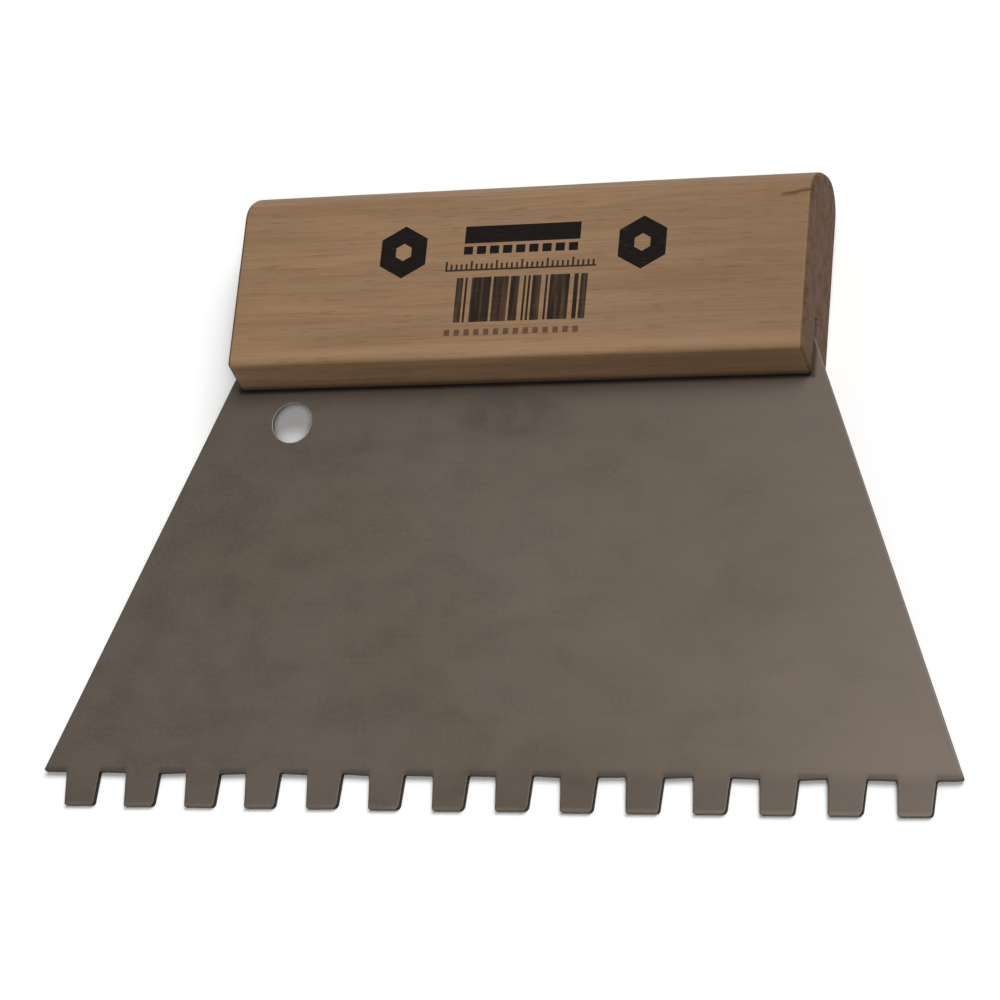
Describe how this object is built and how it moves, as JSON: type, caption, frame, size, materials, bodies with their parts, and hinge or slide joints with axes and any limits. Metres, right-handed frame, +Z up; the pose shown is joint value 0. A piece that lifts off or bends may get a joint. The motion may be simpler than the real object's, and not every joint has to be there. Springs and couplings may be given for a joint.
{
  "type": "notched trowel",
  "caption": "Hand notched trowel: a tapered sheet steel blade with square teeth along its wide edge, nailed into a wooden bar handle.",
  "frame": {"origin": "bottom centre of the bounding box, as the tool lies on its back on a flat surface", "axes": "+X along the handle and the row of teeth, to the right when the printed face is up; +Y from the tooth tips towards the handle; +Z up, out of the printed face, from the surface that the tooth tips and the handle's lower back edge rest on"},
  "size_m": [0.1722, 0.1194, 0.0202],
  "materials": {
    "blade_steel": "cold-rolled, satin, lightly oiled",
    "handle_beech": "sanded, unvarnished",
    "nail_steel": "bright drawn wire"
  },
  "bodies": {
    "root": {"blade": "blade_steel", "handle": "handle_beech", "blade_nails": "nail_steel"}
  },
  "joints": []
}
